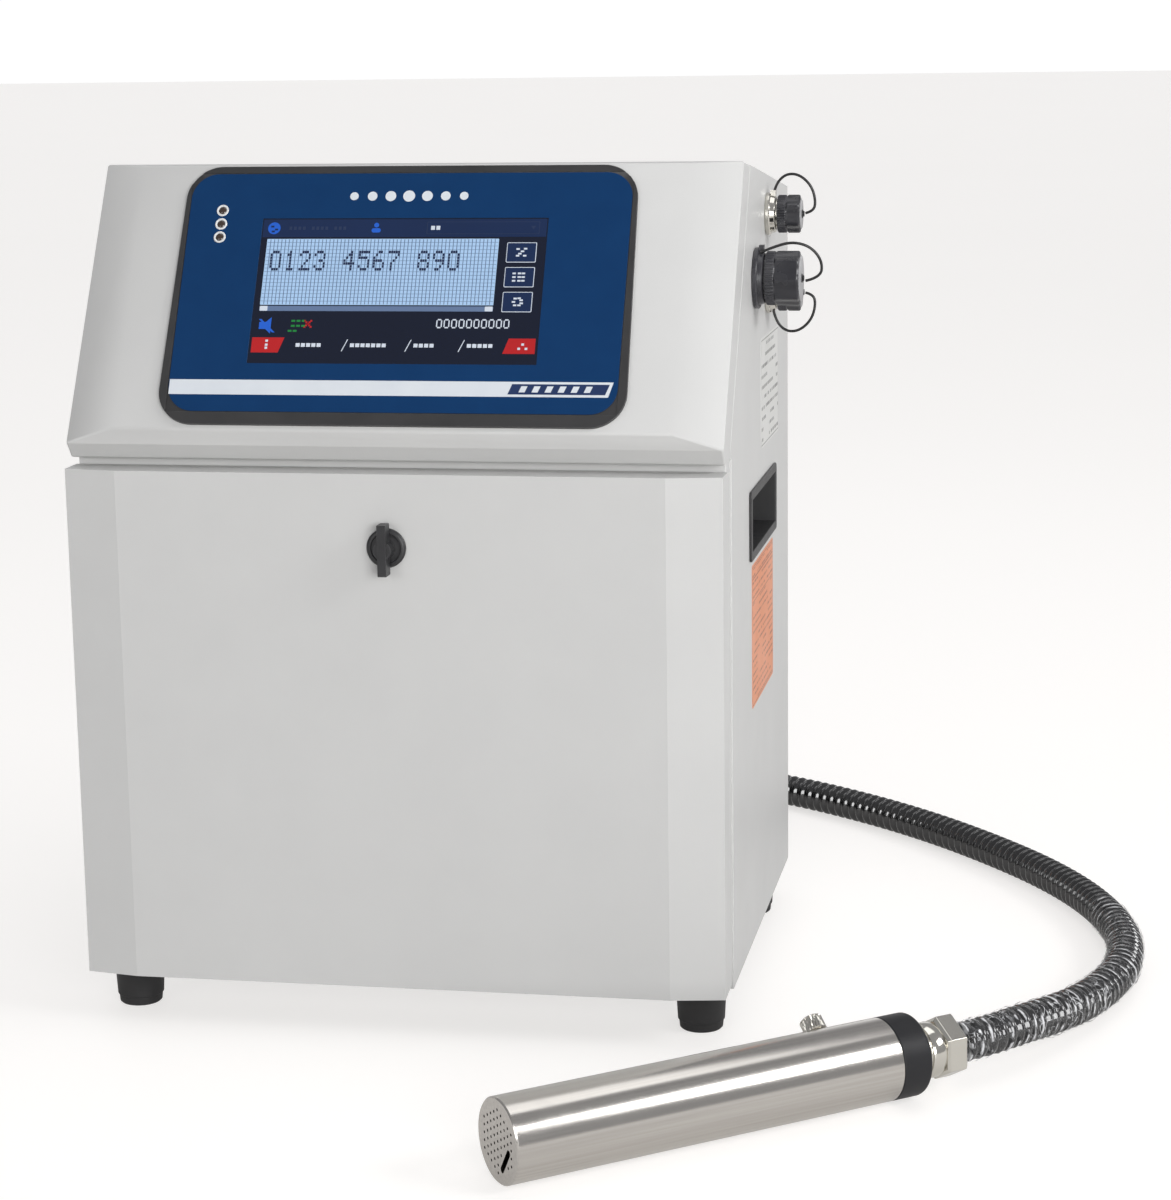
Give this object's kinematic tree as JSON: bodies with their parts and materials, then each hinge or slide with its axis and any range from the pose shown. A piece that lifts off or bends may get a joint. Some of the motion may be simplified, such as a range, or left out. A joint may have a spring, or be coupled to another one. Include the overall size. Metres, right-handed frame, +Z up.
{
  "type": "date code inkjet printer",
  "caption": "Bench inkjet coder: painted cabinet with hooded touch console and drop-down door on rubber feet, and a tubular steel print head on a corrugated conduit.",
  "frame": {"origin": "on the floor, at the centre of the four rubber feet", "axes": "+X to the cabinet's right as seen from the front, +Y from its front to its back, +Z up"},
  "size_m": [0.6003, 0.7938, 0.4837],
  "materials": {
    "case_paint": "fine textured satin paint",
    "bay_sheet": "zinc plated sheet",
    "bezel_black": "satin black moulding",
    "overlay_blue": "smooth printed film",
    "screen_glass": "glossy dark display glass",
    "lamp_white": "white collar round a dark lens",
    "black_plastic": "fine moulded grain",
    "rubber_black": "matt rubber",
    "label_orange": "satin printed label",
    "nickel": "bright nickel plate",
    "head_steel": "brushed stainless tube",
    "board_green": "solder mask",
    "supply_case": "bare folded aluminium",
    "bottle_white": "translucent white plastic",
    "cap_blue": "moulded plastic",
    "hose_clear": "translucent tubing",
    "conduit_black": "glossy corrugated conduit",
    "ceramic_white": "machined block"
  },
  "bodies": {
    "cabinet": {"base_plate": "case_paint", "left_side_panel": "case_paint", "right_side_panel": "case_paint", "top_panel": "case_paint", "back_panel": "case_paint", "front_frame": "case_paint", "mid_shelf": "bay_sheet", "manifold_plate": "bay_sheet", "hood": "case_paint", "bezel_frame": "bezel_black", "overlay_panel": "overlay_blue", "display_screen": "screen_glass", "display_module": "supply_case", "status_leds": "lamp_white", "left_handle": "black_plastic", "right_handle": "black_plastic", "socket_shells": "black_plastic", "large_lanyard": "rubber_black", "upper_lanyard": "rubber_black", "lower_lanyard": "rubber_black", "side_labels": "label_orange", "rubber_feet": "rubber_black", "fasteners": "nickel", "power_supply": "supply_case", "main_board": "board_green", "fan_housing": "black_plastic", "fan_guard": "nickel", "ink_bottle": "bottle_white", "solvent_bottle": "bottle_white", "fluid_filter": "bottle_white", "pump_unit": "supply_case", "valve_block": "ceramic_white", "fluid_hoses": "hose_clear", "drip_tray": "black_plastic", "power_inlet": "black_plastic", "back_gland": "nickel", "hinge_brackets": "bay_sheet", "head_spigot": "head_steel", "head_sleeve": "black_plastic", "head_gland": "nickel", "head_deck": "bay_sheet", "drop_generator": "head_steel", "jet_parts": "ceramic_white", "conduit_lead_in": "conduit_black", "conduit_coil": "conduit_black", "conduit_run": "conduit_black", "coil_ties": "rubber_black"},
    "door": {"door": "case_paint", "door_gasket": "rubber_black", "latch_ring": "black_plastic"},
    "latch": {"latch_wing": "black_plastic", "latch_cam": "bay_sheet"},
    "large_cap": {"large_cap": "black_plastic"},
    "upper_cap": {"upper_cap": "black_plastic"},
    "lower_cap": {"lower_cap": "black_plastic"},
    "fan_rotor": {"fan_rotor": "black_plastic"},
    "power_switch": {"power_switch": "black_plastic"},
    "ink_cap": {"ink_cap": "cap_blue"},
    "solvent_cap": {"solvent_cap": "cap_blue"},
    "head_cover": {"head_cover": "head_steel"},
    "thumb_screw": {"thumb_screw": "nickel"}
  },
  "joints": [
    {"name": "door_drop", "type": "hinge", "parent": "cabinet", "child": "door", "pos_m": [0, -0.134, 0.034], "axis": [1, 0, 0], "range_deg": [0, 75]},
    {"name": "latch_quarter_turn", "type": "hinge", "parent": "door", "child": "latch", "pos_m": [0, -0.155, 0.28], "axis": [0, -1, 0], "range_deg": [0, 90]},
    {"name": "large_cap_turn", "type": "hinge", "parent": "cabinet", "child": "large_cap", "pos_m": [0.2, -0.007, 0.415], "axis": [1, 0, 0], "range_deg": [0, 90]},
    {"name": "upper_cap_turn", "type": "hinge", "parent": "cabinet", "child": "upper_cap", "pos_m": [0.2, 0.049, 0.448], "axis": [1, 0, 0], "range_deg": [0, 90]},
    {"name": "lower_cap_turn", "type": "hinge", "parent": "cabinet", "child": "lower_cap", "pos_m": [0.2, 0.049, 0.402], "axis": [1, 0, 0], "range_deg": [0, 90]},
    {"name": "fan_spin", "type": "hinge", "parent": "cabinet", "child": "fan_rotor", "pos_m": [0.1, 0.145, 0.398], "axis": [0, 1, 0], "continuous": true},
    {"name": "power_rocker", "type": "hinge", "parent": "cabinet", "child": "power_switch", "pos_m": [0.134, 0.1575, 0.075], "axis": [-1, 0, 0], "range_deg": [0, 20]},
    {"name": "ink_cap_turn", "type": "hinge", "parent": "cabinet", "child": "ink_cap", "pos_m": [-0.118, -0.028, 0.18], "axis": [0, 0, 1], "range_deg": [0, 180]},
    {"name": "solvent_cap_turn", "type": "hinge", "parent": "cabinet", "child": "solvent_cap", "pos_m": [-0.034, -0.028, 0.18], "axis": [0, 0, 1], "range_deg": [0, 180]},
    {"name": "head_cover_slide", "type": "slide", "parent": "cabinet", "child": "head_cover", "axis": [-0.7787, -0.6274, 0], "range_m": [0, 0.245]},
    {"name": "thumb_screw_turn", "type": "hinge", "parent": "head_cover", "child": "thumb_screw", "pos_m": [0.2539, -0.2306, 0.0222], "axis": [-0.4806, 0.5965, 0.6428], "range_deg": [0, 360]}
  ]
}
